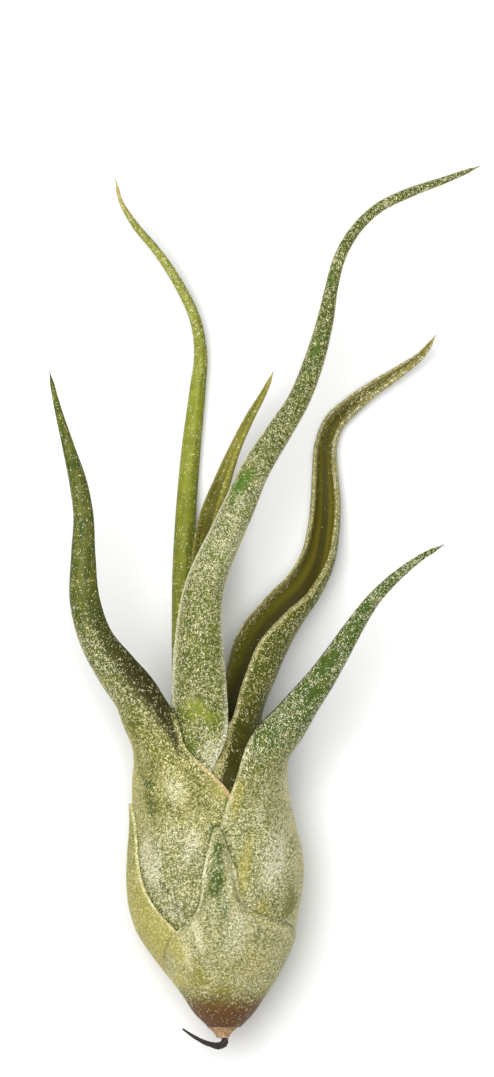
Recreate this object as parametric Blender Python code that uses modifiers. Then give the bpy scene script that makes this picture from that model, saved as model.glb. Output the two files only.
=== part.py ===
"""Air plant (Tillandsia caput-medusae) lying on its back: stem, dry root, two bracts and six channelled leaves.

The bulb's axis runs along +Y from the root end, +X is to its right and +Z is up, away from the surface
it rests on. Tables are in millimetres and degrees; metres are made where the meshes are built.
"""

import math

import bmesh
import bpy
import numpy as np
from mathutils import Vector

MM = 0.001

# The bulb: height along the axis, radius, and how far its centre sits to the right
BULB = (
    (0.6, 1.7, 1.7),
    (2.4, 3.4, 1.7),
    (4.5, 5.6, 1.6),
    (8.2, 8.3, 1.5),
    (12.0, 11.0, 1.2),
    (15.4, 13.1, 0.9),
    (20.2, 15.4, 0.4),
    (26.0, 16.7, 0.1),
    (31.0, 17.0, 0.0),
    (36.5, 16.7, -0.1),
    (42.0, 15.9, -0.5),
    (47.0, 15.5, -1.1),
    (52.0, 15.2, -1.2),
    (58.0, 15.0, -1.0),
    (68.0, 15.2, -0.9),
)
REST_DEPTH = 16.0  # from the bulb's axis down to the flat spot that it lies on

LAYER = 1.3  # from the outside of one sheath to the outside of the next one in
SHEATH = 0.85  # thickness of a sheath wall
MARGIN = 0.62  # thickness of a sheath at its margin
HUG_FROM, HUG_TO = 1.8, 12.0  # how far past a margin the sheath beneath stays pressed in, then free
GATHER_FROM, GATHER_TO = 11.0, 18.0  # below this height the sheaths gather round the stem

BLADE = 1.15  # thickness of a blade along its midrib
BLADE_EDGE = 0.85  # thickness of its rounded margins

# Outermost first. Sheath rows: height of the midrib, then the angles of the left margin, midrib and
# right margin, 0 facing up and 90 to the right, and how far the margins sit below the midrib.
# Blade rows: centre of the channel's arc, the way its back faces, the arc's radius and half angle,
# and how open the channel is. Join: heights between which the sheath becomes the blade.
LEAVES = {
    "bract_front": {
        "sheath": (
            (2.4, -98, 8, 126, 0.0),
            (6.0, -90, 8, 124, 0.2),
            (10.5, -78, 8, 119, 0.6),
            (15.5, -63, 8, 114, 1.3),
            (19.5, -48, 7, 108, 2.3),
            (23.0, -33, 6, 90, 2.8),
            (26.0, -19, 5, 44, 3.4),
            (28.5, -11, 4, 23.5, 3.4),
            (31.0, -8, 4, 18.5, 2.8),
            (34.5, -6.5, 4, 14.5, 2.0),
            (37.5, -4.6, 3.8, 10, 1.2),
            (39.6, -1.8, 3.4, 7, 0.5),
            (41.0, 1.2, 3.2, 5.0, 0.0),
        ),
    },
    "bract_left": {
        "sheath": (
            (4.2, -200, -105, -10, 0.0),
            (8.0, -200, -105, -10, 0.2),
            (13.0, -195, -105, -13, 0.8),
            (18.0, -184, -105, -20, 1.6),
            (23.0, -169, -104, -32, 2.4),
            (28.0, -154, -102, -48, 2.6),
            (34.0, -138, -99, -61, 2.0),
            (39.5, -121, -95, -68, 1.2),
            (43.0, -107, -92, -76, 0.5),
            (45.2, -95, -90, -85, 0.0),
        ),
    },
    "leaf_right": {
        "sheath": (
            (6.0, -38, 58, 156, 0.0),
            (12.0, -34, 58, 154, 0.0),
            (20.0, -20, 58, 148, 0.0),
            (30.0, -5, 59, 136, 0.0),
            (37.0, 2, 60, 126, 0.0),
            (41.5, 7, 60, 117, 0.0),
            (46.8, 16, 61, 108, 0.0),
            (52.0, 25, 62, 100, 0.0),
            (57.0, 34, 62, 92, 0.0),
            (61.0, 42, 62, 84, 0.0),
        ),
        "blade": (
            (3.4, 45.0, 1.6, 61, 10.6, 60, 1.0),
            (5.8, 50.0, 3.2, 58, 8.8, 70, 1.0),
            (10.2, 57.0, 5.3, 52, 5.4, 88, 1.0),
            (13.8, 61.0, 6.0, 46, 4.2, 98, 1.0),
            (16.3, 64.2, 6.5, 42, 3.5, 103, 1.0),
            (20.3, 69.4, 7.2, 38, 2.8, 106, 1.0),
            (23.2, 73.8, 7.8, 35, 2.35, 106, 1.0),
            (26.6, 79.2, 8.3, 33, 1.85, 105, 1.0),
            (30.4, 84.6, 8.8, 30, 1.35, 102, 0.9),
            (35.8, 89.9, 9.0, 28, 0.95, 98, 0.6),
            (39.4, 92.6, 8.8, 26, 0.66, 93, 0.3),
            (43.9, 95.1, 8.4, 25, 0.34, 90, 0.0),
        ),
        "join": (47.0, 61.0),
    },
    "leaf_left": {
        "sheath": (
            (7.8, -158, -54, 52, 0.0),
            (13.0, -157, -54, 51, 0.0),
            (20.0, -153, -54, 47, 0.0),
            (30.0, -145, -54, 38, 0.0),
            (38.0, -138, -54, 30, 0.0),
            (43.0, -132, -54, 24, 0.0),
            (48.0, -124, -54, 14, 0.0),
            (53.0, -110, -54, -4, 0.0),
            (57.0, -98, -54, -19, 0.0),
            (60.0, -90, -54, -29, 0.0),
            (64.0, -82, -54, -35, 0.0),
        ),
        "blade": (
            (-2.6, 45.0, 1.4, -55, 12.0, 72, 1.0),
            (-4.6, 50.0, 3.6, -54, 10.4, 72, 1.0),
            (-8.9, 57.0, 6.2, -52, 7.7, 68, 1.0),
            (-11.8, 62.0, 8.0, -50, 6.0, 88, 1.0),
            (-14.5, 66.0, 9.2, -44, 4.9, 98, 1.0),
            (-18.5, 71.0, 10.4, -40, 4.25, 102, 1.0),
            (-22.6, 77.0, 11.4, -36, 3.4, 105, 1.0),
            (-24.8, 84.0, 12.2, -33, 3.0, 106, 1.0),
            (-25.2, 93.0, 12.6, -30, 2.4, 105, 1.0),
            (-25.2, 101.0, 12.8, -28, 1.95, 104, 1.0),
            (-26.1, 106.6, 12.6, -26, 1.76, 102, 0.95),
            (-28.1, 114.0, 11.9, -26, 1.2, 98, 0.7),
            (-30.3, 122.0, 11.0, -26, 0.66, 93, 0.35),
            (-31.7, 128.2, 10.2, -26, 0.34, 90, 0.0),
        ),
        "join": (48.0, 64.0),
    },
    "leaf_back": {
        "sheath": (
            (9.6, 98, 188, 294, 0.0),
            (15.0, 98, 188, 294, 0.0),
            (22.0, 100, 188, 292, 0.0),
            (31.0, 105, 188, 286, 0.0),
            (40.0, 114, 188, 276, 0.0),
            (48.0, 128, 190, 264, 0.0),
            (54.0, 146, 194, 248, 0.0),
            (60.0, 168, 199, 232, 0.0),
            (66.0, 178, 200, 222, 0.0),
        ),
        "blade": (
            (-2.6, 46.0, -4.6, 196, 9.6, 66, 1.0),
            (-3.8, 52.0, -7.0, 204, 6.8, 76, 1.0),
            (-4.9, 59.0, -8.6, 222, 4.6, 90, 1.0),
            (-5.7, 67.0, -10.2, 254, 3.2, 100, 1.0),
            (-6.1, 77.0, -11.8, 296, 2.5, 104, 1.0),
            (-6.1, 90.0, -13.2, 322, 2.15, 105, 1.0),
            (-5.5, 103.0, -13.8, 330, 2.0, 105, 1.0),
            (-4.6, 114.0, -14.05, 334, 1.85, 105, 1.0),
            (-3.4, 125.0, -13.6, 338, 1.55, 104, 1.0),
            (-2.8, 132.0, -13.0, 340, 1.27, 102, 0.9),
            (-3.8, 138.4, -12.1, 342, 1.08, 100, 0.8),
            (-6.8, 145.0, -11.0, 344, 0.96, 97, 0.6),
            (-11.2, 151.7, -10.0, 345, 0.82, 94, 0.4),
            (-15.6, 157.0, -9.2, 345, 0.68, 92, 0.25),
            (-18.2, 161.4, -8.6, 345, 0.42, 90, 0.1),
            (-19.2, 165.6, -8.2, 345, 0.32, 90, 0.0),
        ),
        "join": (50.0, 64.0),
    },
    "leaf_front": {
        "sheath": (
            (11.5, -110, -12, 86, 0.0),
            (17.0, -103, -12, 79, 0.0),
            (25.0, -93, -12, 69, 0.0),
            (34.0, -82, -12, 56, 0.0),
            (42.0, -71, -12, 42, 0.0),
            (48.0, -62, -12, 31, 0.0),
            (53.0, -53, -12, 22, 0.0),
            (58.0, -44, -12, 14, 0.0),
            (66.0, -36, -12, 10, 0.0),
        ),
        "blade": (
            (-1.6, 51.0, 2.2, -9, 9.8, 43, 1.0),
            (-2.1, 59.0, 3.6, -8, 8.2, 44, 1.0),
            (-2.6, 66.0, 5.4, -6, 6.9, 51, 1.0),
            (-2.9, 73.0, 7.4, -5, 5.6, 63, 1.0),
            (-2.9, 80.0, 8.6, -4, 4.5, 75, 1.0),
            (-2.2, 86.0, 9.2, -3, 3.9, 84, 1.0),
            (-0.6, 91.0, 9.5, -2, 3.5, 91, 1.0),
            (1.6, 95.8, 9.4, -1, 3.25, 95, 1.0),
            (4.6, 102.4, 9.0, 0, 3.05, 98, 1.0),
            (7.5, 109.0, 8.6, 2, 2.8, 100, 1.0),
            (12.3, 116.8, 8.0, 4, 2.45, 102, 1.0),
            (15.8, 122.4, 7.6, 5, 2.15, 104, 1.0),
            (19.0, 130.4, 7.0, 6, 1.95, 104, 1.0),
            (21.2, 138.4, 6.4, 6, 1.6, 103, 0.95),
            (22.4, 144.6, 5.9, 6, 1.25, 102, 0.9),
            (24.0, 150.4, 5.5, 6, 1.15, 101, 0.85),
            (27.0, 155.6, 5.1, 6, 1.05, 99, 0.75),
            (31.4, 159.8, 4.8, 6, 1.0, 97, 0.65),
            (37.0, 162.6, 4.6, 6, 0.95, 95, 0.5),
            (44.2, 165.2, 4.4, 6, 0.68, 92, 0.25),
            (50.8, 167.8, 4.4, 6, 0.34, 90, 0.0),
        ),
        "join": (51.0, 66.0),
    },
    "leaf_channelled": {
        "sheath": (
            (13.6, 0, 98, 196, 0.0),
            (18.0, 0, 98, 194, 0.0),
            (25.0, 0, 98, 188, 0.0),
            (34.0, 0, 98, 178, 0.0),
            (42.0, 1, 98, 166, 0.0),
            (50.0, 4, 98, 152, 0.0),
            (57.0, 8, 98, 140, 0.0),
            (64.0, 12, 98, 132, 0.0),
        ),
        "blade": (
            (0.8, 48.0, 0.3, 98, 8.4, 84, 1.0),
            (2.6, 56.0, 0.6, 100, 5.9, 94, 1.0),
            (3.4, 61.0, 0.6, 102, 5.3, 98, 1.0),
            (4.5, 66.0, 0.4, 108, 5.4, 104, 1.0),
            (6.3, 71.0, -0.2, 115, 5.6, 112, 1.0),
            (8.7, 76.4, -1.4, 122, 5.5, 117, 1.0),
            (12.6, 81.8, -3.2, 132, 4.6, 118, 1.0),
            (17.1, 87.2, -5.8, 150, 3.75, 118, 1.0),
            (19.8, 92.5, -8.6, 166, 3.4, 119, 1.0),
            (20.9, 98.0, -10.9, 174, 3.1, 119, 1.0),
            (21.3, 103.2, -12.5, 177, 2.9, 119, 1.0),
            (21.2, 109.0, -13.4, 178, 2.5, 118, 1.0),
            (21.3, 114.0, -13.75, 177, 2.2, 117, 1.0),
            (22.8, 118.4, -13.8, 174, 2.05, 115, 1.0),
            (26.4, 122.0, -13.4, 168, 1.8, 112, 1.0),
            (30.2, 125.0, -12.9, 162, 1.5, 109, 0.95),
            (35.0, 128.2, -12.0, 157, 1.2, 104, 0.8),
            (40.4, 132.4, -11.0, 152, 0.68, 97, 0.4),
            (42.6, 135.6, -10.4, 150, 0.34, 90, 0.0),
        ),
        "join": (50.0, 64.0),
    },
    "leaf_short": {
        "sheath": (
            (15.8, 90, 172, 254, 0.0),
            (22.0, 92, 172, 252, 0.0),
            (32.0, 98, 172, 244, 0.0),
            (42.0, 106, 172, 236, 0.0),
            (50.0, 114, 172, 228, 0.0),
            (60.0, 120, 172, 222, 0.0),
        ),
        "blade": (
            (-1.4, 44.0, -1.2, 170, 4.6, 88, 1.0),
            (-2.2, 54.0, -1.2, 165, 3.6, 96, 1.0),
            (-2.8, 66.0, -1.6, 158, 2.9, 101, 1.0),
            (-2.9, 78.0, -2.2, 150, 2.6, 104, 1.0),
            (-2.6, 90.0, -3.2, 142, 2.4, 105, 1.0),
            (-1.2, 100.2, -4.2, 137, 2.2, 104, 1.0),
            (1.0, 106.6, -4.6, 134, 1.85, 102, 0.95),
            (3.9, 114.0, -4.9, 132, 1.25, 99, 0.8),
            (6.6, 119.6, -5.0, 130, 1.0, 96, 0.6),
            (9.4, 124.6, -5.0, 130, 0.66, 93, 0.3),
            (11.3, 128.6, -5.0, 130, 0.34, 90, 0.0),
        ),
        "join": (44.0, 60.0),
    },
}
ORDER = list(LEAVES)

ACROSS = 12  # strips across a leaf
SHEATH_STEP = 3.4  # between the sections of a sheath
BLADE_STEP = 0.7  # between the sections of a blade, in rows of its table

STEM = ((0.0, 0.2), (1.2, 0.2), (1.6, 1.4), (2.1, 3.0), (2.6, 5.5), (2.8, 8.0), (2.8, 15.6), (2.5, 16.8), (0.0, 18.2))
STEM_CENTRE = 1.5
ROOT = ((1.9, 0.19, 0.0), (1.1, -1.25, -0.5), (-1.2, -0.95, -1.6), (-3.9, 0.3, -2.6), (-6.3, 1.9, -3.2))
ROOT_RADII = (0.75, 0.8, 0.6, 0.42, 0.35)
ROOT_LEAVES = (1.9, -0.45, 0.0)  # where it is heading as it leaves the foot of the stem


def smoothstep(value):
    value = np.clip(value, 0.0, 1.0)
    return value * value * (3 - 2 * value)


def through(rows, at):
    """A smooth curve through rows, whose first column is the position along it."""
    rows = np.asarray(rows, float)
    along, values = rows[:, 0], rows[:, 1:]
    slopes = np.gradient(values, along, axis=0)
    at = np.clip(np.atleast_1d(at), along[0], along[-1])
    left = np.clip(np.searchsorted(along, at, side="right") - 1, 0, len(along) - 2)
    span = along[left + 1] - along[left]
    part = ((at - along[left]) / span)[:, None]
    span = span[:, None]
    return (
        (2 * part**3 - 3 * part**2 + 1) * values[left]
        + (part**3 - 2 * part**2 + part) * span * slopes[left]
        + (3 * part**2 - 2 * part**3) * values[left + 1]
        + (part**3 - part**2) * span * slopes[left + 1]
    )


def outline(leaf):
    """A sheath's margins as a loop of angles and heights, up the left side and down the right."""
    left = [(row[1], row[0] - row[4]) for row in leaf["sheath"]]
    right = [(row[3], row[0] - row[4]) for row in leaf["sheath"]]
    return np.array(left + right[::-1], float)


def past_margin(leaf, angles, heights, radius):
    """How far points on the bulb lie outside a sheath, in millimetres, 0 or less within it."""
    loop = outline(leaf)
    mid = leaf["sheath"][0][2]
    angles = mid + (angles - mid + 180) % 360 - 180
    scale = np.radians(1) * radius
    nearest = np.full(angles.shape, 1e6)
    inside = np.zeros(angles.shape, bool)
    for (a0, h0), (a1, h1) in zip(loop, np.roll(loop, -1, axis=0)):
        px, py = (angles - a0) * scale, heights - h0
        ex, ey = (a1 - a0) * scale, h1 - h0
        part = np.clip((px * ex + py * ey) / np.maximum(ex * ex + ey * ey, 1e-9), 0, 1)
        nearest = np.minimum(nearest, np.hypot(px - part * ex, py - part * ey))
        crosses = (h0 > heights) != (h1 > heights)
        rise = h1 - h0 if h1 != h0 else 1.0
        inside ^= crosses & (angles < a0 + (heights - h0) / rise * (a1 - a0))
    return np.where(inside, -nearest, nearest)


def covered(leaf, angles, heights, radius):
    """1 where this sheath lies over the bulb, falling to 0 a little past its margins."""
    past = past_margin(leaf, angles, heights, radius)
    hug = 1 - smoothstep((past - HUG_FROM) / (HUG_TO - HUG_FROM))
    gathered = 1 - smoothstep((heights - GATHER_FROM) / (GATHER_TO - GATHER_FROM))
    return np.maximum(hug, gathered)


def sheath_radius(name, angles, heights):
    """Radius of a sheath's outside: the bulb's, less every sheath over it, and no lower than the flat spot."""
    radius = through(BULB, heights)[:, 0]
    outside = ORDER[: ORDER.index(name)]
    over = np.array([covered(LEAVES[other], angles, heights, radius) for other in outside] or [0 * angles])
    below = -np.cos(np.radians(angles))
    flat = (REST_DEPTH - LAYER * smoothstep(2 * over - 1).sum(axis=0)) / np.maximum(below, 0.5)
    return np.minimum(radius - LAYER * over.sum(axis=0), flat)


def wall(across, middle, edge):
    """Thickness across a leaf, thinner towards the margins."""
    return edge + (middle - edge) * (1 - np.abs(across) ** 3)


def sheath_section(name, height, across):
    """Outer and inner points of a sheath whose midrib is at a height."""
    left, mid, right, droop = through(LEAVES[name]["sheath"], height)[0]
    angles = np.where(across < 0, mid + (mid - left) * across, mid + (right - mid) * across)
    heights = height - droop * across**2
    outer = sheath_radius(name, angles, heights)
    inner = outer - wall(across, SHEATH, MARGIN)
    centre = through(BULB, heights)[:, 1]
    turn = np.radians(angles)
    return [
        np.stack([centre + r * np.sin(turn), heights, r * np.cos(turn)], axis=1)
        for r in (outer, inner)
    ]


def spine(blade):
    """Blade rows with their distance along the spine put first."""
    rows = np.asarray(blade, float)
    steps = np.linalg.norm(np.diff(rows[:, :3], axis=0), axis=1)
    return np.column_stack([np.concatenate([[0.0], np.cumsum(steps)]), rows])


def blade_section(rows, distance, across):
    """Outer and inner points of a blade, square to its spine."""
    x, y, z, facing, radius, half, channel = through(rows, distance)[0]
    before, after = through(rows, [distance - 0.5, distance + 0.5])[:, :3]
    tangent = (after - before) / np.linalg.norm(after - before)
    back = np.array([math.sin(math.radians(facing)), 0.0, math.cos(math.radians(facing))])
    back -= tangent * back.dot(tangent)
    back /= np.linalg.norm(back)
    side = np.cross(tangent, back)
    turn = np.radians(half) * across
    thick = np.minimum(wall(across, BLADE, BLADE_EDGE), 0.75 * radius)
    inside = radius - thick
    level = np.cos(np.radians(half)) * inside
    depth = channel * inside * np.cos(turn) + (1 - channel) * level
    centre = np.array([x, y, z])
    outer = centre + radius * (np.outer(np.cos(turn), back) + np.outer(np.sin(turn), side))
    inner = centre + np.outer(depth, back) + np.outer(inside * np.sin(turn), side)
    return [outer, inner]


def ring(outer, inner):
    """One closed loop of points round a section, with its two margins rounded."""
    first = (outer[0] + inner[0]) / 2
    last = (outer[-1] + inner[-1]) / 2
    first += (outer[0] - outer[1]) / np.linalg.norm(outer[0] - outer[1]) * np.linalg.norm(outer[0] - inner[0]) * 0.4
    last += (outer[-1] - outer[-2]) / np.linalg.norm(outer[-1] - outer[-2]) * np.linalg.norm(outer[-1] - inner[-1]) * 0.4
    return np.vstack([outer, last, inner[::-1], first])


def leaf_rings(name):
    leaf = LEAVES[name]
    across = np.linspace(-1, 1, ACROSS + 1)
    base, top = leaf["sheath"][0][0], leaf["sheath"][-1][0]
    heights = np.linspace(base, top, max(9, round((top - base) / SHEATH_STEP)) + 1)
    if "blade" not in leaf:
        return [ring(*sheath_section(name, height, across)) for height in heights]
    rows = spine(leaf["blade"])
    fine = np.linspace(0, rows[-1, 0], 400)
    climb = through(rows, fine)[:, 1]
    start, end = leaf["join"]
    rings = []
    for height in heights:
        outer, inner = sheath_section(name, height, across)
        if height > start:
            share = smoothstep((height - start) / (end - start))
            blade_outer, blade_inner = blade_section(rows, np.interp(height, climb, fine), across)
            outer = (1 - share) * outer + share * blade_outer
            inner = (1 - share) * inner + share * blade_inner
        rings.append(ring(outer, inner))
    reached = np.interp(heights[-1], climb, fine)
    row_at = np.arange(len(rows))
    first = np.interp(reached, rows[:, 0], row_at)
    count = round((row_at[-1] - first) / BLADE_STEP)
    for row in np.linspace(first, row_at[-1], count + 1)[1:]:
        rings.append(ring(*blade_section(rows, np.interp(row, row_at, rows[:, 0]), across)))
    return rings


def material(name, colour, roughness):
    made = bpy.data.materials.new(name)
    made.use_nodes = True
    shader = made.node_tree.nodes["Principled BSDF"]
    shader.inputs["Base Color"].default_value = (*colour, 1.0)
    shader.inputs["Roughness"].default_value = roughness
    return made


def collect(obj, collection, look):
    obj.data.materials.append(look)
    collection.objects.link(obj)


def loft(name, rings, collection, look):
    """A closed skin through rings of as many points each, with both ends filled."""
    shape = bmesh.new()
    loops = [[shape.verts.new(point * MM) for point in points] for points in rings]
    count = len(loops[0])
    for lower, upper in zip(loops, loops[1:]):
        for i in range(count):
            following = (i + 1) % count
            shape.faces.new((lower[i], lower[following], upper[following], upper[i]))
    for loop in (loops[0], loops[-1]):
        half = ACROSS
        for i in range(half):
            shape.faces.new((loop[i], loop[i + 1], loop[2 * half + 1 - i], loop[2 * half + 2 - i]))
        shape.faces.new((loop[half], loop[half + 1], loop[half + 2]))
        shape.faces.new((loop[0], loop[2 * half + 2], loop[2 * half + 3]))
    bmesh.ops.recalc_face_normals(shape, faces=shape.faces)
    mesh = bpy.data.meshes.new(name)
    shape.to_mesh(mesh)
    shape.free()
    mesh.shade_smooth()
    collect(bpy.data.objects.new(name, mesh), collection, look)


def stem(collection, look):
    """The short core that every sheath is seated on, turned about the bulb's axis."""
    mesh = bpy.data.meshes.new("stem")
    points = [(radius * MM, height * MM, 0.0) for radius, height in STEM]
    mesh.from_pydata(points, [(i, i + 1) for i in range(len(points) - 1)], [])
    obj = bpy.data.objects.new("stem", mesh)
    obj.location.x = STEM_CENTRE * MM
    turned = obj.modifiers.new("turned", "SCREW")
    turned.axis = "Y"
    turned.steps = turned.render_steps = 24
    turned.use_merge_vertices = True
    turned.merge_threshold = 0.00001
    turned.use_normal_calculate = True
    collect(obj, collection, look)


def root(collection, look):
    """A dry wiry root, drawn as a tapering curve."""
    curve = bpy.data.curves.new("root_strand", "CURVE")
    curve.dimensions = "3D"
    curve.bevel_depth = MM
    curve.bevel_resolution = 2
    curve.resolution_u = 5
    curve.use_fill_caps = True
    line = curve.splines.new("BEZIER")
    line.bezier_points.add(len(ROOT) - 1)
    for point, place, radius in zip(line.bezier_points, ROOT, ROOT_RADII):
        point.co = [value * MM for value in place]
        point.radius = radius
        point.handle_left_type = point.handle_right_type = "AUTO"
    start = line.bezier_points[0]
    start.handle_left_type = start.handle_right_type = "FREE"
    start.handle_left = start.co
    start.handle_right = [value * MM for value in ROOT_LEAVES]
    collect(bpy.data.objects.new("root_strand", curve), collection, look)


def rest(collection):
    """Lays the plant down by its bulb's axis, with the middle of its whole length and width at the origin."""
    bpy.context.view_layer.update()
    corners = np.array([obj.matrix_world @ Vector(corner) for obj in collection.objects for corner in obj.bound_box])
    middle = (corners.min(axis=0) + corners.max(axis=0)) / 2
    axis = bpy.data.objects.new("bulb_axis", None)
    axis.location = (-middle[0], -middle[1], REST_DEPTH * MM)
    for obj in collection.objects:
        obj.parent = axis
    collection.objects.link(axis)


def main():
    for obj in list(bpy.data.objects):
        bpy.data.objects.remove(obj, do_unlink=True)
    plant = bpy.data.collections.new("air_plant")
    bpy.context.scene.collection.children.link(plant)
    looks = {
        "bract_front": (0.36, 0.40, 0.24),
        "bract_left": (0.35, 0.35, 0.13),
        "leaf_right": (0.33, 0.36, 0.20),
        "leaf_left": (0.34, 0.37, 0.20),
        "leaf_back": (0.30, 0.36, 0.09),
        "leaf_front": (0.30, 0.35, 0.19),
        "leaf_channelled": (0.24, 0.26, 0.10),
        "leaf_short": (0.22, 0.29, 0.08),
    }
    for name, colour in looks.items():
        loft(name, leaf_rings(name), plant, material(name, colour, 0.75))
    stem(plant, material("stem", (0.24, 0.14, 0.07), 0.8))
    root(plant, material("root_strand", (0.02, 0.015, 0.01), 0.7))
    rest(plant)


main()
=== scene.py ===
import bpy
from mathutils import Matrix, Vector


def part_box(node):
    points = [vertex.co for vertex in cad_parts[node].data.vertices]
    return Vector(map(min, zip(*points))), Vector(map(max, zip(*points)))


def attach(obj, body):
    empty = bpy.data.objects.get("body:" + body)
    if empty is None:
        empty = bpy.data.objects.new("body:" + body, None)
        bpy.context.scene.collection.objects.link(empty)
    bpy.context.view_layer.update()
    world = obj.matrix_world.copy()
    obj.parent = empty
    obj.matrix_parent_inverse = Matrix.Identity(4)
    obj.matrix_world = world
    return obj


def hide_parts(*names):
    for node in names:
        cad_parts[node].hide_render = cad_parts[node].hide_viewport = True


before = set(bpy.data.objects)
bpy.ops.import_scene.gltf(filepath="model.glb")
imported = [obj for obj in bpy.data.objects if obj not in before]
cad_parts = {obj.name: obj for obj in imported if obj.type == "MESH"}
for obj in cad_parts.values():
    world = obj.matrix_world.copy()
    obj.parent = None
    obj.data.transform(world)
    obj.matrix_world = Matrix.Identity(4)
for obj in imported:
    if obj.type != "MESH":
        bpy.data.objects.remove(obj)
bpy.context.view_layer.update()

import math

import bpy
import numpy as np


# ---- stem
# The short woody core that every leaf is seated on. Only its foot shows, a dry tan stub with
# fibres running down it where the plant was broken from its parent.

MM = 0.001
STEM_PROFILE = (
    (0, 0.2), (0.7, 0.22), (1.15, 0.3), (1.35, 0.8), (1.7, 1.3), (2.75, 2.3), (3.5, 3.6),
    (4, 5.2), (4.1, 8), (2.8, 12), (2.8, 15.6), (2.5, 16.8), (1.2, 17.8), (0, 18.2),
)  # radius and height in millimetres
STEM_CENTRE = 1.5  # how far the stem stands to the right of the bulb's axis
STEM_FOOT, STEM_TOP = STEM_PROFILE[0][1], STEM_PROFILE[-1][1]
FIBRES = ((17, 0.7, 0.05), (7, -1.0, 0.04))  # how many round the stem, their twist, their depth

stem_low, stem_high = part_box("stem")
AXIS = np.array([
    (stem_low[0] + stem_high[0]) / 2 - STEM_CENTRE * MM,
    stem_low[1] - STEM_FOOT * MM,
    (stem_low[2] + stem_high[2]) / 2,
])  # foot of the bulb's axis: +Y runs up the plant, +Z away from the surface it lies on


def through(rows, at):
    """A smooth curve through rows, whose first column is the position along it."""
    rows = np.asarray(rows, float)
    along, values = rows[:, 0], rows[:, 1:]
    slopes = np.gradient(values, along, axis=0)
    at = np.clip(np.atleast_1d(at), along[0], along[-1])
    left = np.clip(np.searchsorted(along, at, side="right") - 1, 0, len(along) - 2)
    span = along[left + 1] - along[left]
    part = ((at - along[left]) / span)[:, None]
    span = span[:, None]
    return (
        (2 * part**3 - 3 * part**2 + 1) * values[left]
        + (part**3 - 2 * part**2 + part) * span * slopes[left]
        + (3 * part**2 - 2 * part**3) * values[left + 1]
        + (part**3 - part**2) * span * slopes[left + 1]
    )


def once_round(around):
    """Angles evenly spaced round a full turn."""
    return np.arange(around) * 2 * math.pi / around


def tube_faces(rings, around):
    """Quads round a tube of rings, and one face over each end."""
    corner = np.arange(rings * around).reshape(rings, around)
    following = np.roll(corner, -1, axis=1)
    quads = np.stack([corner[:-1], following[:-1], following[1:], corner[1:]], axis=-1)
    return quads.reshape(-1, 4).tolist() + [corner[0][::-1].tolist(), corner[-1].tolist()]


scene = bpy.context.scene


def put(name, points, faces, look, node, slot):
    """A finished piece from points in millimetres about the foot of the bulb's axis."""
    mesh = bpy.data.meshes.new(name)
    mesh.from_pydata((np.asarray(points) * MM + AXIS).tolist(), [], faces)
    mesh.validate()
    mesh.shade_smooth()
    mesh.materials.append(look)
    piece = bpy.data.objects.new(name, mesh)
    scene.collection.objects.link(piece)
    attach(piece, "root")
    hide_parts(node)
    return piece


def paint(name, roughness):
    """A new material, its node tree and its shader."""
    made = bpy.data.materials.new(name)
    made.use_nodes = True
    shader = made.node_tree.nodes["Principled BSDF"]
    shader.inputs["Roughness"].default_value = roughness
    return made, made.node_tree, shader


def add(tree, kind, sources=None, **settings):
    """A node whose named inputs take either a value or another node's output."""
    node = tree.nodes.new(kind)
    for key, value in settings.items():
        setattr(node, key, value)
    for key, value in (sources or {}).items():
        if isinstance(value, bpy.types.NodeSocket):
            tree.links.new(value, node.inputs[key])
        else:
            node.inputs[key].default_value = value
    return node


def noise(tree, place, scale, detail):
    return add(tree, "ShaderNodeTexNoise", {"Vector": place, "Scale": scale, "Detail": detail}).outputs["Fac"]


def ramp(tree, factor, stops):
    """A colour ramp through (position, colour) stops."""
    node = add(tree, "ShaderNodeValToRGB", {"Fac": factor})
    elements = node.color_ramp.elements
    while len(elements) < len(stops):
        elements.new(0.5)
    for element, (position, colour) in zip(elements, stops):
        element.position = position
        element.color = (*colour, 1.0)
    return node.outputs["Color"]


def colour_and_bump(tree, shader, colour, height, strength, distance):
    """A surface's colour and relief joined to its shader."""
    tree.links.new(colour, shader.inputs["Base Color"])
    bump = add(tree, "ShaderNodeBump", {"Height": height, "Strength": strength, "Distance": distance})
    tree.links.new(bump.outputs["Normal"], shader.inputs["Normal"])


def woody_look(name, roughness, fineness, detail, stops, strength, distance):
    """Dry woody tissue, coloured and raised by one grain."""
    look, tree, shader = paint(name, roughness)
    place = add(tree, "ShaderNodeTexCoord").outputs["Object"]
    spot = add(tree, "ShaderNodeMapping", {"Vector": place, "Scale": fineness}).outputs["Vector"]
    grain = noise(tree, spot, 1.0, detail)
    colour_and_bump(tree, shader, ramp(tree, grain, stops), grain, strength, distance)
    return look


def stem_points():
    """A turned core with fibres raised down it, its rings closest near the foot."""
    radii, heights = np.transpose(STEM_PROFILE)
    rings, turn = 70, once_round(72)
    points = []
    for part in np.linspace(0, 1, rings):
        height = STEM_FOOT + (STEM_TOP - STEM_FOOT) * part**1.6
        r = max(np.interp(height, heights, radii), 0.02)
        r = r * (1 + sum(deep * np.sin(count * turn + twist * height) for count, twist, deep in FIBRES))
        points.append(np.stack([STEM_CENTRE + r * np.cos(turn), height + 0 * turn, -r * np.sin(turn)], 1))
    return np.vstack(points), tube_faces(rings, len(turn))


put("stem_foot", *stem_points(), woody_look(
    "dry stem", 0.8, (2600.0, 260.0, 2600.0), 4.0,
    ((0.25, (0.1, 0.045, 0.02)), (0.5, (0.42, 0.25, 0.12)), (0.75, (0.62, 0.44, 0.26))), 0.6, 0.0002),
    "stem", "stem")


# ---- root
# One dry, wiry holdfast root, black and wrinkled, which leaves the foot of the stem and curls
# away to the left. Roots like this grip bark; on a plant sold loose they dry to wire.

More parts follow.
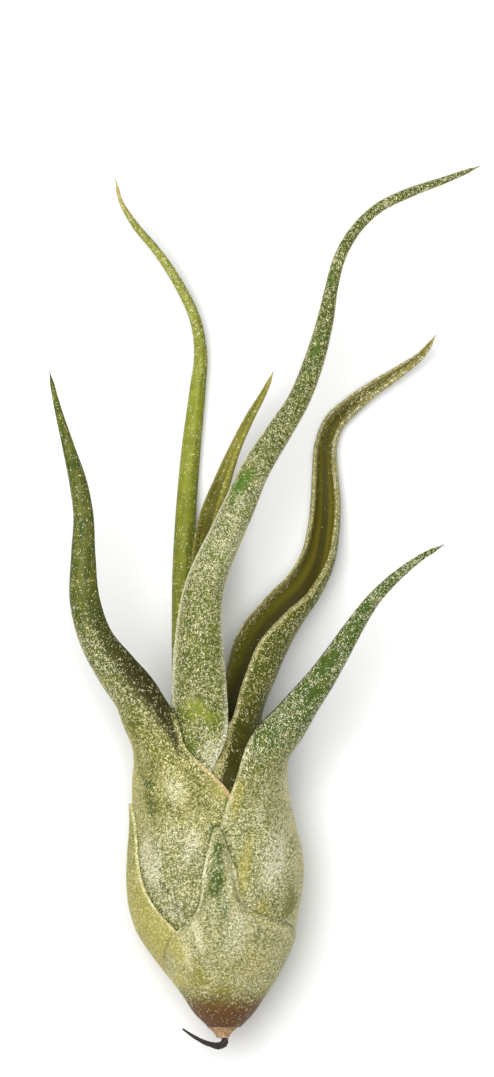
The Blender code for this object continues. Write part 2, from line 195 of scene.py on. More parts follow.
ROOT = ((1.9, 0.19, 0.0), (1.75, -0.75, -0.1), (1.1, -1.2, -0.5), (-1.2, -0.95, -1.6), (-3.9, 0.3, -2.6),
        (-6.3, 1.9, -3.2))
ROOT_RADII = (0.72, 0.78, 0.78, 0.55, 0.38, 0.2)
ROOT_END = 0.35  # how far the cut end closes in


def distances(points):
    """How far along a line each of its points lies."""
    return np.concatenate([[0.0], np.cumsum(np.linalg.norm(np.diff(points, axis=0), axis=1))])


def unit(vector):
    return vector / np.linalg.norm(vector)


def direction(rows, at, reach):
    """Which way a curve through rows runs, measured over a reach to either side."""
    before, after = through(rows, [at - reach, at + reach])[:, :3]
    return unit(after - before)


def square_to(along, vector):
    """A unit vector turned square to a direction."""
    return unit(vector - along * vector.dot(along))


def root_points():
    """A bent wire with three twisted wrinkles down it and shallow rings across it."""
    steps = distances(ROOT)
    rows = np.column_stack([steps, ROOT, ROOT_RADII])
    rings, turn = 110, once_round(20)
    side = np.array([0.0, 0.0, 1.0])
    points = []
    for at in np.linspace(0, steps[-1], rings):
        x, y, z, radius = through(rows, at)[0]
        along = direction(rows, at, 0.1)
        side = square_to(along, side)
        other = np.cross(along, side)
        wrinkle = 1 - 0.1 * np.abs(np.sin(3 * turn + 1.1 * at)) - 0.07 * math.sin(5.3 * at) ** 2
        r = radius * wrinkle * (ROOT_END if at == steps[-1] else 1.0)
        points.append(np.array([x, y, z]) + np.outer(r * np.cos(turn), side) + np.outer(r * np.sin(turn), other))
    return np.vstack(points), tube_faces(rings, len(turn))


put("root_wire", *root_points(), woody_look(
    "dry root", 0.65, (1800.0, 1800.0, 1800.0), 5.0,
    ((0.35, (0.006, 0.005, 0.004)), (0.6, (0.03, 0.02, 0.014)), (0.8, (0.11, 0.07, 0.045))), 0.5, 0.0001),
    "root_strand", "root_strand")


# ---- front bract
# The outermost and shortest leaf: a broad base that wraps the foot of the bulb and narrows to a
# dark green tongue. All bracts and leaves are one fleshy skin under a coat of tiny silver scales,
# thick on the bulb and along the margins, thin or rubbed off elsewhere.

BULB = (
    (0.6, 1.7, 1.7), (2.4, 3.4, 1.7), (4.5, 5.6, 1.6), (8.2, 8.3, 1.5), (12, 11, 1.2), (15.4, 13.1, 0.9),
    (20.2, 15.4, 0.4), (26, 16.7, 0.1), (31, 17, 0), (36.5, 16.7, -0.1), (42, 15.9, -0.5), (47, 15.5, -1.1),
    (52, 15.2, -1.2), (58, 15, -1), (68, 15.2, -0.9),
)  # height, radius, how far the centre sits to the right
REST_DEPTH = 16.0  # from the axis down to the flat spot the bulb lies on
LAYER = 0.72  # from the outside of one sheath to the outside of the next one in
SHEATH, MARGIN = 0.52, 0.25  # thickness of a sheath at its midrib and margins
SINK = 0.5  # how far a sheath thins down onto the next one at its margins
SWELLS = (
    (4.7, 30.5, 1.9, 10, 14, -1.6), (8.4, 23.6, 3.6, 1.9, -32, -0.8), (-6.4, 22.8, 3.4, 3.4, 25, -0.8),
    (-3.4, 33, 1.5, 7, 2, -0.5), (-5.6, 48.5, 4.2, 6.5, 20, 0.8), (-10.4, 37, 3.6, 6.5, 6, 0.7),
    (10.6, 39, 4.2, 9, -8, 0.8), (0, 46, 4, 4.5, 40, -0.7), (-10.6, 56.5, 2.6, 5.5, 20, 0.5),
)  # swellings and hollows of the front: x, y, half width, half length, lean in degrees, height
DRIFTS = ((0.16, 7.0, 3), (0.05, 2.6, 4))  # uneven growth all over the bulb: height, size, seed
ROLL = 0.28  # millimetres round the bulb for one degree, for that unevenness
HUG = (1.8, 10.2)  # how far past a margin the sheath beneath stays pressed in, and how slowly it comes free
GATHER = (11.0, 7.0)  # the height up to which the sheaths gather round the stem, and how slowly they part
ACROSS = 72  # strips across the outside of a leaf
INSIDE = 24  # strips across its inside
SPAN = np.linspace(-1, 1, ACROSS + 1)  # from the left margin over the midrib to the right margin
ROUND = (0.25, 0.5, 0.75)  # points round a margin, as shares of the way from outside to inside
INNER = ACROSS + 1 + len(ROUND)  # a ring's first point on the inside
ALONG = 0.65  # length of a strip
INNER_COAT = 400.0  # moves the inside of a leaf to another part of the scales' pattern

sheaths_outside = []  # outermost first, filled as each leaf is laid on


def smoothstep(value):
    value = np.clip(value, 0.0, 1.0)
    return value * value * (3 - 2 * value)


def rise(value, start, over):
    """0 up to a start, then over a length up to 1."""
    return smoothstep((value - start) / over)


def fall(value, end, over):
    """1, then over a length down to 0 at an end."""
    return smoothstep((end - value) / over)


def drift(u, v, size, seed):
    """Soft random patches over a surface, from -1 to 1."""
    table = np.random.default_rng(seed).uniform(-1, 1, (64, 64))
    u, v = np.broadcast_arrays(u / size + 17.3, v / size + 9.1)
    column, row = np.floor(u).astype(int), np.floor(v).astype(int)
    a, b = smoothstep(u - column), smoothstep(v - row)
    corner = [table[(row + i) % 64, (column + j) % 64] for i in (0, 1) for j in (0, 1)]
    return (corner[0] * (1 - a) + corner[1] * a) * (1 - b) + (corner[2] * (1 - a) + corner[3] * a) * b


def spots_at(x, y, spots):
    """Soft oval spots added together: x, y, half width, half length, lean in degrees, strength."""
    total = np.zeros(np.shape(x))
    for cx, cy, wide, long, lean, strength in spots:
        turn = math.radians(lean)
        u = (x - cx) * math.cos(turn) + (y - cy) * math.sin(turn)
        v = (y - cy) * math.cos(turn) - (x - cx) * math.sin(turn)
        total = total + strength * (1 - smoothstep(1.2 * np.hypot(u / wide, v / long) - 0.2))
    return total


def past_margin(rows, angles, heights, radius):
    """How far points on the bulb lie outside a sheath, in millimetres, 0 or less within it."""
    left = [(row[1], row[0] - row[4]) for row in rows]
    right = [(row[3], row[0] - row[4]) for row in rows]
    loop = np.array(left + right[::-1], float)
    mid = rows[0][2]
    angles = mid + (angles - mid + 180) % 360 - 180  # counted from the midrib
    scale = np.radians(1) * radius
    nearest = np.full(angles.shape, 1e6)
    inside = np.zeros(angles.shape, bool)
    for (a0, h0), (a1, h1) in zip(loop, np.roll(loop, -1, axis=0)):
        px, py = (angles - a0) * scale, heights - h0
        ex, ey = (a1 - a0) * scale, h1 - h0
        part = np.clip((px * ex + py * ey) / np.maximum(ex * ex + ey * ey, 1e-9), 0, 1)
        nearest = np.minimum(nearest, np.hypot(px - part * ex, py - part * ey))
        crosses = (h0 > heights) != (h1 > heights)
        climb = ey if ey != 0 else 1.0
        inside ^= crosses & (angles < a0 + (heights - h0) / climb * (a1 - a0))
    return np.where(inside, -nearest, nearest)


def sheath_radius(angles, heights):
    """Radius of a sheath's outside: the bulb's, less the sheaths over it, and no lower than the flat spot."""
    radius = through(BULB, heights)[:, 0]
    over = [0 * angles]
    for rows in sheaths_outside:
        hug = 1 - rise(past_margin(rows, angles, heights, radius), *HUG)
        over.append(np.maximum(hug, 1 - rise(heights, *GATHER)))
    over = np.array(over)
    below = -np.cos(np.radians(angles))
    flat = (REST_DEPTH - LAYER * smoothstep(2 * over - 1).sum(axis=0)) / np.maximum(below, 0.5)
    swell = sum(high * drift(angles * ROLL, heights, size, seed) for high, size, seed in DRIFTS)
    x = radius * np.sin(np.radians(angles))
    swell += spots_at(x, heights, SWELLS) * smoothstep(2 * np.cos(np.radians(angles)))
    return np.minimum(radius + swell - LAYER * over.sum(axis=0), flat)


def wall(middle, edge):
    """Thickness across a leaf, thinner towards the margins."""
    return edge + (middle - edge) * (1 - np.abs(SPAN) ** 3)


def sheath_section(rows, height):
    """Outer and inner points of a sheath whose midrib is at a height."""
    left, mid, right, droop = through(rows, height)[0]
    angles = np.where(SPAN < 0, mid + (mid - left) * SPAN, mid + (right - mid) * SPAN)
    heights = height - droop * SPAN**2
    outer = sheath_radius(angles, heights) - SINK * SPAN**4
    inner = outer - wall(SHEATH, MARGIN)
    centre = through(BULB, heights)[:, 1]
    turn = np.radians(angles)
    return [np.stack([centre + r * np.sin(turn), heights, r * np.cos(turn)], axis=1) for r in (outer, inner)]


def round_margin(outer, inner, beside):
    """Points that carry the outer skin round a margin to the inner one."""
    centre = (outer + inner) / 2
    half = (outer - inner) / 2
    away = (outer - beside) / max(np.linalg.norm(outer - beside), 1e-6) * np.linalg.norm(half) * 0.8
    return [centre + half * math.cos(math.pi * share) + away * math.sin(math.pi * share) for share in ROUND]


def strips(start, end):
    """Where a leaf's sections stand between a start and an end."""
    return np.linspace(start, end, round((end - start) / ALONG) + 1)


def bract_sections(rows):
    return [sheath_section(rows, height) for height in strips(rows[0][0], rows[-1][0])]


class Skin:
    """A leaf's closed skin: rings of points, outer side, margin, inner side, margin."""

    def __init__(self, sections):
        rings = []
        for outer, inner in sections:
            right = round_margin(outer[-1], inner[-1], outer[-2])
            left = round_margin(outer[0], inner[0], outer[1])
            rings.append(np.vstack([outer, right, inner[:: -(ACROSS // INSIDE)], left[::-1]]))
        self.points = np.array(rings)
        self.inner = np.concatenate([np.zeros(ACROSS + 1), ROUND, np.ones(INSIDE + 1), ROUND[::-1]])
        middle = self.points[:, ACROSS // 2]
        self.along = distances(middle)
        steps = np.linalg.norm(self.points - np.roll(self.points, 1, axis=1), axis=2)
        steps[:, 0] = 0
        self.round = np.cumsum(steps, axis=1)
        ends = self.round[:, [0, ACROSS, INNER, INNER + INSIDE]]
        near = np.abs(self.round[:, :, None] - ends[:, None])
        self.margin = np.where(self.inner < 0.1, near[..., :2].min(axis=2), near[..., 2:].min(axis=2))
        self.margin[:, (self.inner > 0.1) & (self.inner < 0.9)] = 0.0
        ahead = np.gradient(self.points, axis=0)
        beside = np.roll(self.points, -1, axis=1) - np.roll(self.points, 1, axis=1)
        out = np.cross(beside, ahead)
        run, width, area = (np.linalg.norm(vectors, axis=2) for vectors in (ahead, beside, out))
        self.ahead = ahead / np.maximum(run, 1e-9)[..., None]
        self.out = out / np.maximum(area, 1e-9)[..., None]
        self.smooth = (area > 0.5 * width * run) & ((self.inner < 0.1) | (self.inner > 0.9))
        self.sideways = np.where(self.inner < 0.7, self.round - self.round[:, [ACROSS // 2]],
                                 self.round - self.round[:, [INNER + INSIDE // 2]] + INNER_COAT)
        last = self.points[:, -len(ROUND):]
        self.sideways[:, -len(ROUND):] = -np.linalg.norm(last - middle[:, None], axis=2)
        self.masks = {}  # how each kind of tissue and scale is spread over it

    def xy(self):
        """How far right and how far up each point lies."""
        return self.points[..., 0], self.points[..., 1]

    def flat(self, values):
        """Values given for a whole skin, one for each point in the order of the mesh."""
        return np.broadcast_to(values, self.points.shape[:2]).reshape(-1)


def past_sheaths(skin):
    """How far each point lies past the nearest margin of the sheaths outside, in millimetres."""
    x, y, z = np.moveaxis(skin.points, 2, 0)
    shape = through(BULB, y.ravel())
    radius, centre = shape[:, 0].reshape(y.shape), shape[:, 1].reshape(y.shape)
    angles = np.degrees(np.arctan2(x - centre, z))
    nearest = np.full(y.shape, 50.0)
    for rows in sheaths_outside:
        nearest = np.minimum(nearest, past_margin(rows, angles, y, radius))
    return nearest


OPEN_FROM = 57  # the height from which the inside of a leaf shows
TUCKED = 0.3  # how far the scales run on under the sheath outside


def in_sight(skin):
    """1 where a leaf's skin can be seen, 0 under the sheaths outside it and inside the bulb."""
    return ((skin.inner[None] < 0.6) | (skin.points[..., 1] > OPEN_FROM)) & (past_sheaths(skin) > -TUCKED)


def crease_shade(skin):
    """1 in the fold beside the margins of the sheaths outside this one, where fewer scales and darker flesh are
    painted as shade.
    """
    return fall(past_sheaths(skin), 0.75, 0.65)


def rim(skin, wide):
    """1 along a leaf's own margins, 0 from a width in millimetres inwards."""
    return fall(skin.margin, wide, 0.8 * wide)


def sheen_flanks(skin):
    """1 where the skin turns down at a leaf's sides, 0 on its crest; scales laid thicker there are painted sheen, the
    brightness of the sides seen at a slant.
    """
    return fall(np.abs(skin.out[..., 2]), 0.62, 0.45)


def raise_up(skin, height):
    """The outside pushed out by a height in millimetres, the inside left where it is."""
    skin.points = skin.points + skin.out * (height * (1 - skin.inner)[None])[..., None]


def marks(skin, spots, ragged=None):
    """Soft spots on a leaf's upper side, broken up at random where a seed is given."""
    x, y = skin.xy()
    found = spots_at(x, y, spots) * smoothstep(skin.out[..., 2] * 2 + 0.6)
    if ragged is None:
        return found
    return found * (0.85 + 0.5 * drift(x, y, 1.3, ragged) + 0.35 * drift(x, y, 0.55, ragged + 1))


def effect(name, takes, gives):
    """An empty node group with named inputs and outputs."""
    group = bpy.data.node_groups.new(name, "ShaderNodeTree")
    for way, sockets in (("INPUT", takes), ("OUTPUT", gives)):
        for label, kind in sockets.items():
            group.interface.new_socket(name=label, in_out=way, socket_type="NodeSocket" + kind)
    return group, group.nodes.new("NodeGroupInput").outputs, group.nodes.new("NodeGroupOutput").inputs


def reckon(tree, operation, first, second, **settings):
    return add(tree, "ShaderNodeMath", {0: first, 1: second}, operation=operation, **settings).outputs[0]


def carry(tree, value, old=(0.0, 1.0), new=(0.0, 1.0), **settings):
    """A value carried from an old range to a new one, and held within it."""
    ends = dict(zip(("From Min", "From Max", "To Min", "To Max"), (*old, *new)))
    return add(tree, "ShaderNodeMapRange", {"Value": value, **ends}, **settings).outputs[0]


def mix(tree, factor, first, second):
    return add(tree, "ShaderNodeMix", {0: factor, 6: first, 7: second}, data_type="RGBA").outputs[2]


def mask(tree, label):
    """One of a skin's own masks, kept at its points."""
    return add(tree, "ShaderNodeAttribute", attribute_name=label).outputs["Fac"]


def scale_coat_group():
    """Round scales scattered one to a cell: where they lie, and a tone for each."""
    group, given, result = effect(
        "scale coat", {"Place": "Vector", "Cover": "Float", "Size": "Float", "Length": "Float"},
        {"Mask": "Float", "Tone": "Float"})
    wide = reckon(group, "DIVIDE", 1.0, given["Size"])
    long = reckon(group, "DIVIDE", wide, given["Length"])
    steps = add(group, "ShaderNodeCombineXYZ", {"X": wide, "Y": long, "Z": wide}).outputs[0]
    spot = add(group, "ShaderNodeVectorMath", {0: given["Place"], 1: steps}, operation="MULTIPLY").outputs[0]
    cells = add(group, "ShaderNodeTexVoronoi", {"Vector": spot, "Scale": 1.0}, voronoi_dimensions="2D")
    random = add(group, "ShaderNodeSeparateColor", {"Color": cells.outputs["Color"]}).outputs
    uneven = carry(group, noise(group, given["Place"], 1.4, 3.0), (0.32, 0.68), (-0.4, 0.4))
    fade = reckon(group, "MULTIPLY", given["Cover"], 7.0, use_clamp=True)  # bare skin has no clumps either
    cover = reckon(group, "ADD", given["Cover"], reckon(group, "MULTIPLY", uneven, fade))
    there = carry(group, reckon(group, "SUBTRACT", cover, random[0]), (0.0, 0.08))
    reach = carry(group, random[1], new=(0.36, 0.62))
    shape = carry(group, cells.outputs["Distance"], (reach, 0.24), interpolation_type="SMOOTHSTEP")
    group.links.new(reckon(group, "MULTIPLY", there, shape), result["Mask"])
    group.links.new(carry(group, random[2], (0.4, 1.0)), result["Tone"])
    return group


def flesh_group():
    """Living leaf flesh: two greens that drift along the leaf, with fine streaks down its length."""
    group, given, result = effect(
        "leaf flesh", {"Place": "Vector", "Light green": "Color", "Deep green": "Color", "Deep share": "Float"},
        {"Color": "Color", "Height": "Float"})
    long = add(group, "ShaderNodeVectorMath", {0: given["Place"], 1: (2.2, 0.12, 1.0)}, operation="MULTIPLY")
    streaks = noise(group, long.outputs[0], 1.0, 3.0)
    blotch = noise(group, given["Place"], 0.35, 4.0)
    wander = carry(group, reckon(group, "ADD", streaks, blotch), (0.75, 1.25), (-0.3, 0.3))
    share = reckon(group, "ADD", given["Deep share"], wander, use_clamp=True)
    group.links.new(mix(group, share, given["Light green"], given["Deep green"]), result["Color"])
    group.links.new(streaks, result["Height"])
    return group


SCALE_COAT = scale_coat_group()
FLESH = flesh_group()
SILVER, SILVER_SHADE = (0.99, 0.97, 0.78, 1), (0.55, 0.53, 0.31, 1)
GOLD, GOLD_SHADE = (0.96, 0.89, 0.45, 1), (0.5, 0.43, 0.13, 1)
FINE_COAT = {"Size": 0.2, "Length": 1.15}  # a scale's cell: width in millimetres, length for its width
BROAD_COAT = {"Size": 0.27, "Length": 1.2}
WASH, WASH_SHARE = (0.62, 0.585, 0.35, 1), 0.12  # the pale film between scales, and how much of it shows


def scale_colour(tree, tone, golden):
    """Silver or golden, each from its light to its shade."""
    return mix(tree, golden, mix(tree, tone, SILVER, SILVER_SHADE), mix(tree, tone, GOLD, GOLD_SHADE))


def leaf_look(name, light, deep, dried=(0.5, 0.36, 0.13), blush=(0.16, 0.075, 0.03), dark=(0.045, 0.038, 0.007)):
    """Flesh, then dried, reddened and dark tissue, then fine and broad scales, all by the skin's own masks; the
    reddened and dark colours and the deep green also stand in for shade in hollows, creases, channels and sides
    turned from the light.
    """
    look, tree, shader = paint(name, 0.6)
    place = add(tree, "ShaderNodeAttribute", attribute_name="leaf_mm").outputs["Vector"]
    flesh = add(tree, "ShaderNodeGroup", {
        "Place": place, "Light green": (*light, 1), "Deep green": (*deep, 1), "Deep share": mask(tree, "deep"),
    }, node_tree=FLESH)
    under = flesh.outputs["Color"]
    for label, colour in (("dry", dried), ("blush", blush), ("dark", dark)):
        under = mix(tree, mask(tree, label), under, (*colour, 1))
    cover, pale, golden = (mask(tree, label) for label in ("cover", "pale", "gold"))
    under = mix(tree, reckon(tree, "MULTIPLY", pale, WASH_SHARE, use_clamp=True), under, WASH)
    worn = carry(tree, pale, new=(1.0, 0.0))  # scales on a pale place have no shade of their own
    coats = []
    for amount, kind in ((cover, FINE_COAT), (reckon(tree, "MULTIPLY", cover, 0.5), BROAD_COAT)):
        coat = add(tree, "ShaderNodeGroup", {"Place": place, "Cover": amount, **kind}, node_tree=SCALE_COAT).outputs
        coats.append((coat["Mask"], scale_colour(tree, reckon(tree, "MULTIPLY", coat["Tone"], worn), golden)))
    (fine, small), (broad, large) = coats
    coated = mix(tree, broad, mix(tree, reckon(tree, "MULTIPLY", fine, 0.9), under, small), large)
    both = reckon(tree, "MAXIMUM", fine, broad)
    tree.links.new(carry(tree, both, new=(0.5, 0.8)), shader.inputs["Roughness"])
    colour_and_bump(tree, shader, coated, reckon(tree, "ADD", flesh.outputs["Height"], both), 0.7, 0.00012)
    shader.inputs["Specular IOR Level"].default_value = 0.12
    return look


MAP_FILL, MAP_EDGE = 0.96, 0.02  # how much of a flat map's column the skin fills, and the gap beside it
MAP_SPOT = 0.003  # half the size of a patch that holds a single colour


def lay_flat(mesh, skin):
    """The skin slit along one line, unrolled and folded into as many columns as fill a square."""
    around = skin.points.shape[1]
    folds = max(1, round(math.sqrt(skin.along[-1] / skin.round[:, -1].mean())))
    share = skin.along / skin.along[-1] * folds
    fold = np.minimum(np.floor(share[:-1]), folds - 1)
    low, high = (share[:-1] - fold) * MAP_FILL + MAP_EDGE / 2, (share[1:] - fold) * MAP_FILL + MAP_EDGE / 2
    column = np.arange(around)
    left, right = ((fold[:, None] + MAP_EDGE + MAP_FILL * side / around) / folds for side in (column, column + 1))
    low, high = (np.broadcast_to(level[:, None], left.shape) for level in (low, high))
    corners = (left, low), (right, low), (right, high), (left, high)
    quads = np.stack([np.stack(corner, -1) for corner in corners], axis=2)
    turn = once_round(around)
    ends = [np.stack([at + MAP_SPOT * np.cos(turn), 0.99 + MAP_SPOT * np.sin(turn)], 1) for at in (0.01, 0.03)]
    places = np.vstack([quads.reshape(-1, 2), *ends])  # the faces over the ends go in a corner
    mesh.uv_layers.new(name="OFBake").uv.foreach_set("vector", places.astype(np.float32).ravel())


def keep(mesh, label, values):
    """A number for each point, kept in the mesh."""
    made = mesh.attributes.new(label, "FLOAT", "POINT")
    made.data.foreach_set("value", values.astype(np.float32))


FULLEST, STRONGEST = 0.84, 1.4  # where the coat's cover and every other mask end


def skin_piece(name, skin, look, node):
    """The leaf's skin as a piece, with its masks and a map laid out flat."""
    mesh = put(name, skin.points.reshape(-1, 3), tube_faces(*skin.points.shape[:2]), look, node, node).data
    lay_flat(mesh, skin)
    leaf_mm = np.stack([skin.flat(skin.sideways), skin.flat(skin.along[:, None]), skin.flat(skin.inner[None])], 1)
    made = mesh.attributes.new("leaf_mm", "FLOAT_VECTOR", "POINT")
    made.data.foreach_set("vector", leaf_mm.astype(np.float32).reshape(-1))
    for label in ("cover", "gold", "pale", "deep", "dry", "blush", "dark"):
        values = skin.flat(skin.masks.get(label, 0.0))
        keep(mesh, label, np.clip(values, 0, FULLEST if label == "cover" else STRONGEST))


SCALES, tree, shader = paint("loose scales", 0.8)
tree.links.new(scale_colour(tree, mask(tree, "tone"), mask(tree, "gold")), shader.inputs["Base Color"])
shader.inputs["Specular IOR Level"].default_value = 0.2
CROWD = 48.0  # scales on a square millimetre of a full coat
LIFT = 0.55  # how steeply the scales stand up
STRAY = 1.0  # how far they turn off the leaf's length, in radians
BEHIND, BEFORE, HALF = 0.4, 0.6, 0.42  # how far a scale of size 1 reaches from its root: back, on, to a side
ROOTED = (0.01, 0.05)  # how deep in the skin a scale's back corners and its underside are
CLEAR = 0.00002  # the least height of a scale over the table, in metres


def flakes(name, skin, node, seed, size):
    """Real scales standing off the skin: closed four-sided flakes, rooted in it and pointing up the leaf."""
    draw = np.random.default_rng(seed)
    points = skin.points
    across = np.linalg.norm(points - np.roll(points, -1, axis=1), axis=2)[:-1]
    along = np.linalg.norm(points[1:] - points[:-1], axis=2)
    cover, pale, gold = (np.clip(skin.flat(skin.masks.get(label, 0.0)), 0, 1).reshape(points.shape[:2])
                         for label in ("cover", "pale", "gold"))
    weight = (across * along * cover[:-1]**1.5 * (in_sight(skin) * skin.smooth)[:-1]).reshape(-1)
    count = round(CROWD * weight.sum())
    chosen = draw.choice(weight.size, size=count, p=weight / weight.sum())
    row, column = np.divmod(chosen, points.shape[1])
    beside = (column + 1) % points.shape[1]
    u, v = draw.random((2, count, 1))
    at = (points[row, column] * (1 - u) + points[row, beside] * u) * (1 - v)
    at += (points[row + 1, column] * (1 - u) + points[row + 1, beside] * u) * v
    out, ahead = skin.out[row, column], skin.ahead[row, column]
    side = np.cross(ahead, out)
    turn = draw.normal(0, STRAY, (count, 1))
    ahead, side = ahead * np.cos(turn) + side * np.sin(turn), side * np.cos(turn) - ahead * np.sin(turn)
    big = size * draw.uniform(0.6, 1.3, (count, 1))
    up = LIFT * draw.uniform(0.2, 1.2, (count, 1))
    corners = np.stack([
        at - ahead * big * BEHIND + side * big * HALF - out * ROOTED[0],
        at - ahead * big * BEHIND - side * big * HALF - out * ROOTED[0],
        at + ahead * big * BEFORE + out * big * up,
        at - out * ROOTED[1],
    ], axis=1)
    tone = draw.random(count) * (1 - 0.8 * pale[row, column])
    clear = corners[:, :, 2].min(axis=1) * MM + AXIS[2] > CLEAR
    corners, tone, gold = corners[clear], tone[clear], gold[row, column][clear]
    first = np.arange(len(tone))[:, None, None] * 4
    faces = (first + np.array([[0, 1, 2], [1, 0, 3], [2, 1, 3], [0, 2, 3]])).reshape(-1, 3)
    mesh = put(name, corners.reshape(-1, 3), faces.tolist(), SCALES, node, node).data
    mesh.shade_flat()
    keep(mesh, "tone", np.repeat(tone, 4))
    keep(mesh, "gold", np.repeat(gold, 4))
    spot = np.stack([MAP_EDGE + MAP_FILL * tone, MAP_EDGE + MAP_FILL * gold], 1)[:, None, None]
    places = spot + MAP_SPOT * np.array([(-1, -1), (1, -1), (0, 1)])[None, None]
    places = np.broadcast_to(places, (len(tone), 4, 3, 2))
    mesh.uv_layers.new(name="OFBake").uv.foreach_set("vector", places.astype(np.float32).ravel())


PATCH = 2.4  # size of the thick and thin patches in a leaf's coat
EARTHY = (0.125, 0.056, 0.02)  # the brown of a bract's foot


def lay_on(node, rows, skin, seed, look, size=0.15, **masks):
    """A finished leaf, skin and standing scales, whose sheath then lies over the next ones."""
    skin.masks = masks
    skin_piece(node + "_skin", skin, look, node)
    flakes(node + "_scales", skin, node, seed, size)
    sheaths_outside.append(rows)


BRACT_FRONT = (
    (2.4, -98, 8, 126, 0), (6, -90, 8, 124, 0.2), (10.5, -78, 8, 119, 0.6), (15.5, -63, 8, 114, 1.3),
    (19.5, -48, 7, 108, 2.3), (23, -33, 6, 90, 2.8), (26, -19, 5, 44, 3.4), (28.5, -11, 4, 23.5, 3.4),
    (31, -8, 4, 18.5, 2.8), (34.5, -6.5, 4, 14.5, 2), (37.5, -4.6, 3.8, 10, 1.2), (39.6, -1.8, 3.4, 7, 0.5),
    (41, 1.2, 3.2, 5, 0),
)  # height, then left margin, midrib and right margin in degrees round the bulb, droop of the margins
skin = Skin(bract_sections(BRACT_FRONT))
x, y = skin.xy()
tongue = marks(skin, ((0.4, 33, 2.2, 8.5, -3, 1), (1.2, 25.5, 2.6, 7, -8, 0.7)))
core = marks(skin, (
    (0.1, 31, 2.7, 5.8, -5, 1), (0.7, 37, 1.6, 4.6, -6, 0.9), (1.6, 23.5, 1.8, 5.5, -8, 0.45)), 31)
olive = marks(skin, ((-3.2, 13, 2.3, 4.2, 14, 1), (1.8, 9.6, 2.8, 1.2, 0, 0.6)), 32)
left_rim = rim(skin, 1.1) * (skin.sideways < 0) * rise(y, 18, 4) * fall(y, 38, 6)
right_rim = rim(skin, 1.5) * (skin.sideways > 0) * rise(y, 20, 3) * fall(y, 38, 6)
fold = marks(skin, ((-3.5, 21, 1, 6, 14, 1.1), (-4.9, 15.6, 1.2, 5.4, 16, 1)), 34)
side = marks(skin, ((3, 30.5, 1, 7.5, -14, 0.9), (3.8, 21, 3, 7.5, -12, 0.8)), 33)
# Hollows, pushed in and painted darker as shade, with fewer scales.
hollow_shade = marks(skin, ((-1.3, 24, 1, 7, 6, 0.6), (8.4, 20.5, 1.2, 4.6, -42, 0.8)))
wing = marks(skin, ((-7.4, 17.5, 2.8, 6, 34, 1), (-6.6, 11.5, 2.4, 2.8, 0, 0.8)))
earthy = marks(skin, ((7.6, 14, 3.6, 4.4, -30, 0.9), (-1.5, 10, 7, 2.6, 0, 0.7)))
foot = fall(y, 11, 6)
ridge = np.maximum(left_rim, fold)
raise_up(skin, 0.5 * ridge + 0.45 * tongue + 0.3 * side + 0.35 * right_rim - 0.3 * hollow_shade)
lay_on("bract_front", BRACT_FRONT, skin, 11, look=leaf_look(
    "front bract", (0.3, 0.265, 0.045), (0.055, 0.1, 0.007), dried=(0.36, 0.31, 0.05),
    blush=EARTHY, dark=(0.035, 0.05, 0.006)),
    cover=np.maximum(0.08, 0.56 + 0.3 * side + 0.5 * ridge + 0.2 * right_rim - 0.1 * tongue - 0.46 * core
                     - 0.42 * olive - 0.2 * hollow_shade - 0.56 * foot + 0.12 * drift(x, y, PATCH, 21)),
    gold=0.5 + 0.5 * wing - 0.2 * side - 0.2 * ridge + 0.3 * earthy + 0.5 * olive,
    pale=0.45 + 0.75 * side + 1.0 * ridge + 0.7 * right_rim - 0.3 * core - 0.45 * foot,
    deep=0.5 + 0.3 * tongue + 0.5 * core + 0.15 * olive + 0.3 * hollow_shade - 0.5 * wing + 0.15 * side,
    dry=0.6 * wing + 0.3 * ridge + 0.4 * olive + 0.35 * earthy,
    blush=foot + 0.25 * earthy,
    dark=0.3 * hollow_shade + 0.25 * core)


# ---- left bract
# The other short bract, on the left of the bulb: yellow-green, with a pale dry margin and a free
# tip that stands a little off the leaf behind it.

BRACT_LEFT = (
    (4.2, -200, -105, -10, 0), (8, -200, -105, -10, 0.2), (13, -195, -105, -13, 0.8), (18, -184, -105, -20, 1.6),
    (23, -169, -104, -32, 2.4), (28, -154, -102, -48, 2.6), (34, -138, -99, -61, 2), (39.5, -121, -95, -68, 1.2),
    (43, -107, -92, -76, 0.5), (45.2, -95, -90, -85, 0),
)
skin = Skin(bract_sections(BRACT_LEFT))
x, y = skin.xy()
edge = rim(skin, 0.9)
# The fold beside the sheaths outside gets darker flesh and fewer scales, as painted shade.
fold = crease_shade(skin)
olive = rise(y, 20, 20)
raise_up(skin, 0.25 * edge * rise(y, 12, 6))
foot = fall(y, 11, 6)
lay_on("bract_left", BRACT_LEFT, skin, 12, look=leaf_look(
    "left bract", (0.36, 0.33, 0.05), (0.13, 0.15, 0.014), dried=(0.46, 0.38, 0.1), blush=EARTHY),
    cover=(0.42 + 0.4 * edge * (1 - foot) - 0.3 * fold - 0.08 * olive - 0.4 * foot
           + 0.12 * drift(x + 3, y, PATCH, 22)),
    gold=0.9 - 0.3 * edge,
    pale=0.7 * edge,
    deep=0.25 + 0.45 * olive + 0.4 * fold - 0.3 * edge,
    dry=0.3 + 0.3 * edge - 0.3 * olive,
    blush=foot + 0.3 * fold)


# ---- right leaf
# The outermost full leaf: its sheath swells into the right half of the bulb, then rolls into a
# channelled blade that leans out to the right and ends in a fine green point.

BLADE, BLADE_EDGE = 1.15, 0.85  # thickness of a blade along its midrib and at its margins
TIP, TAPER = 0.25, 2.5  # how narrow a blade's very tip gets, and over what length


